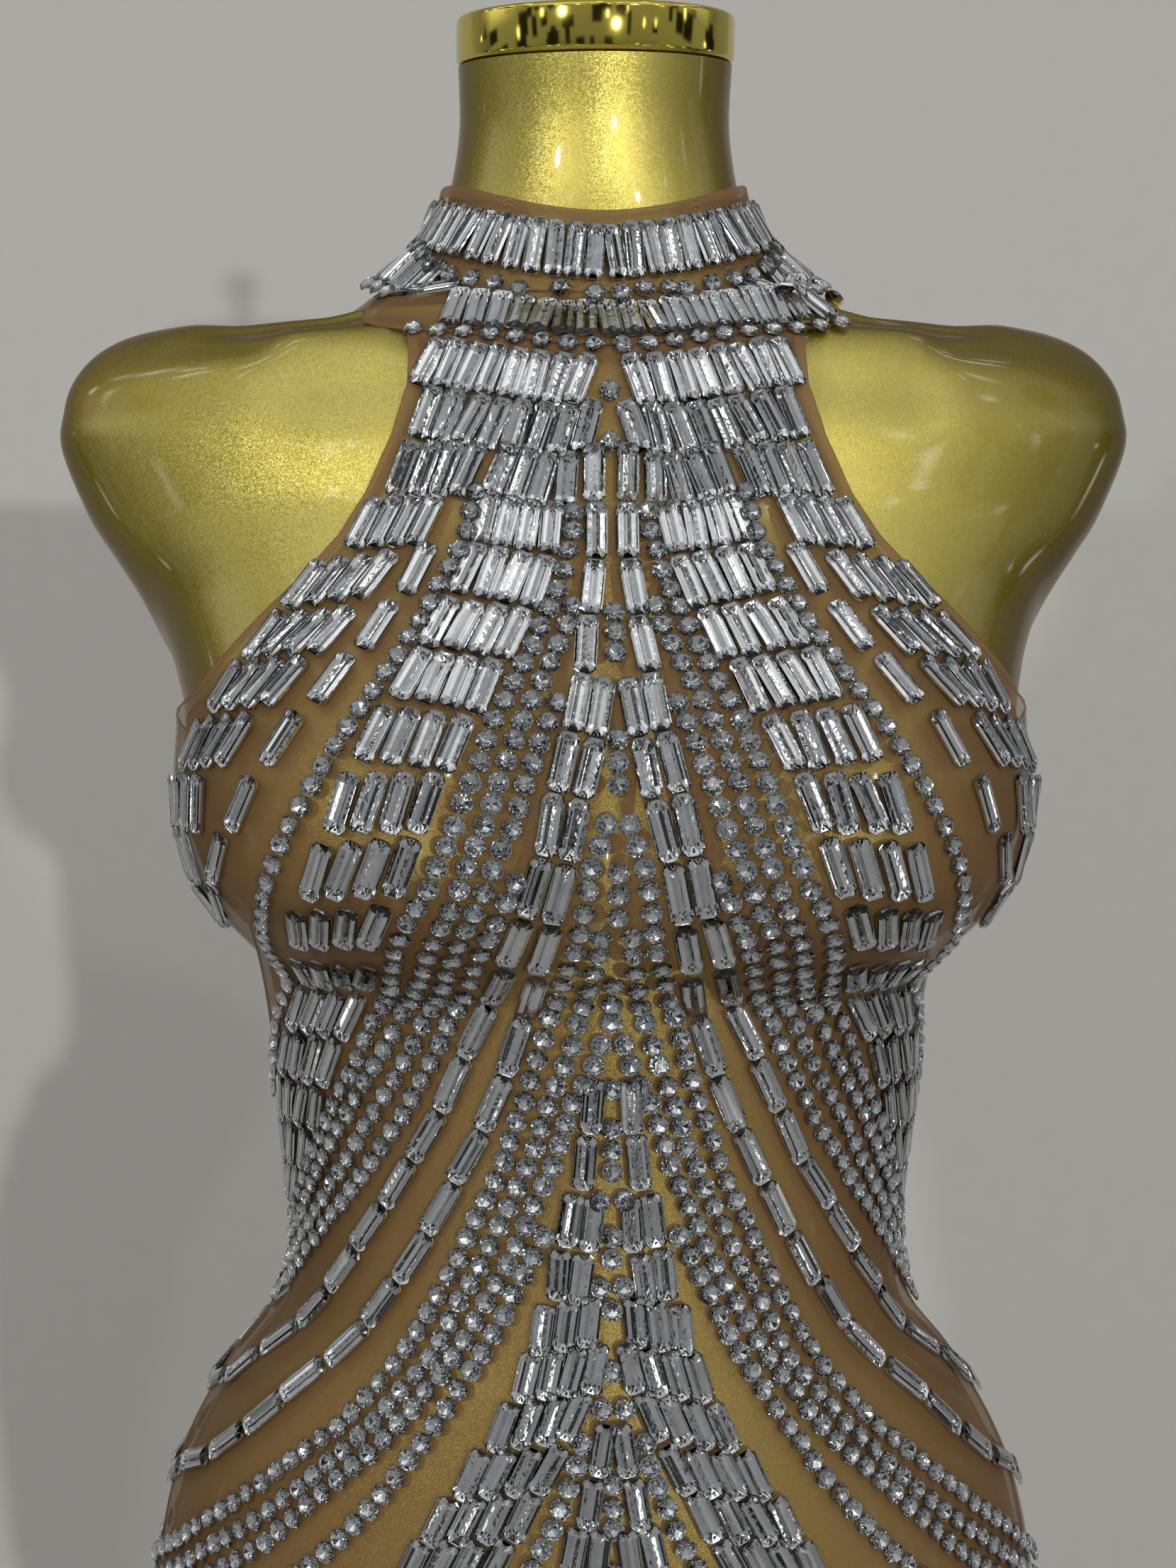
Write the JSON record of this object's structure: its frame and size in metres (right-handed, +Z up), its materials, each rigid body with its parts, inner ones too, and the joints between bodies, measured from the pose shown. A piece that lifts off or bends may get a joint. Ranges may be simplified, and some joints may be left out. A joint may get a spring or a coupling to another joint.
{
  "type": "mini dress on a dress form",
  "caption": "Sheer halter-neck mini dress covered in baguette and round crystals, on an armless gold dress form with a pole stand.",
  "frame": {"origin": "on the floor under the middle of the round base", "axes": "+Z up along the pole, the front of the dress faces -Y, +X to the right of a viewer at the front"},
  "size_m": [0.4, 0.34, 1.5292],
  "materials": {
    "gold_paint": "metallic flake paint under clear gloss",
    "gold_chrome": "mirror polished gold plating",
    "power_mesh": "sheer nude stretch net",
    "crystal": "clear foiled crystal, cut facets"
  },
  "bodies": {
    "root": {"form": "gold_paint", "neck_cap": "gold_chrome", "knob": "gold_chrome", "socket": "gold_chrome", "pole": "gold_chrome", "foot": "gold_chrome", "base": "gold_chrome", "dress_front": "power_mesh", "dress_back": "power_mesh", "collar": "power_mesh"}
  },
  "joints": []
}
